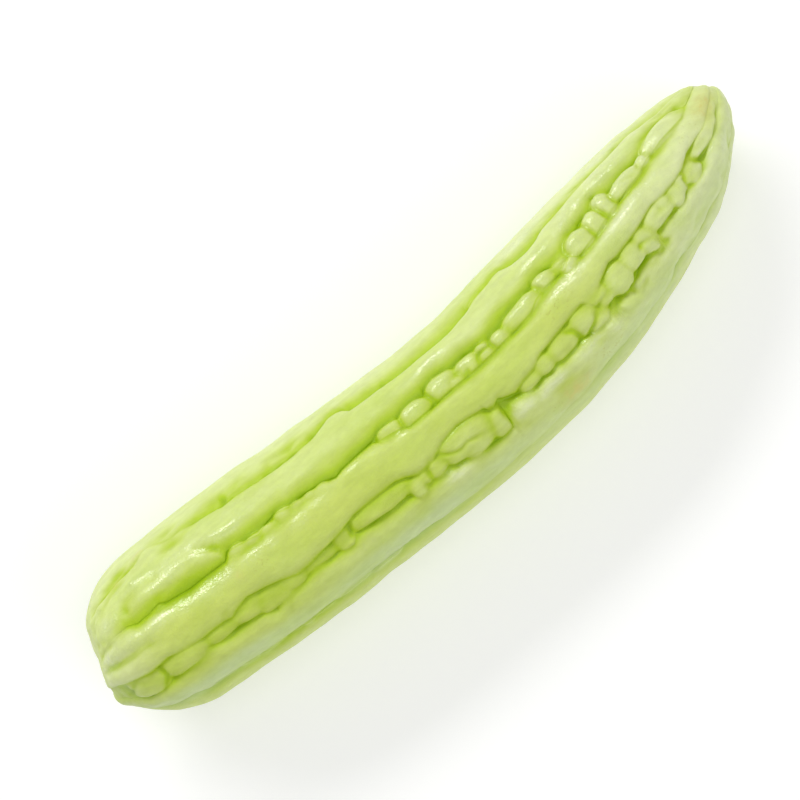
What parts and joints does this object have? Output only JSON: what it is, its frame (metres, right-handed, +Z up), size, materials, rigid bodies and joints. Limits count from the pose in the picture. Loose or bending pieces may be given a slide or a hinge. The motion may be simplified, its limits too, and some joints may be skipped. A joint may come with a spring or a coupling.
{
  "type": "bitter gourd",
  "caption": "Whole bitter gourd lying on its side: long, gently bent body with lengthwise ridges, warty furrows, a blunt stem end and a narrow blossom end.",
  "frame": {"origin": "middle of the footprint, on the surface that the gourd lies on", "axes": "+X from the stem end to the blossom end, +Z up, +Y towards the side that the blossom end hooks to"},
  "size_m": [0.2797, 0.0656, 0.0564],
  "materials": {
    "skin": "waxy pale yellow-green skin with a soft gloss, greener in the furrows"
  },
  "bodies": {
    "root": {"bitter_gourd": "skin"}
  },
  "joints": []
}
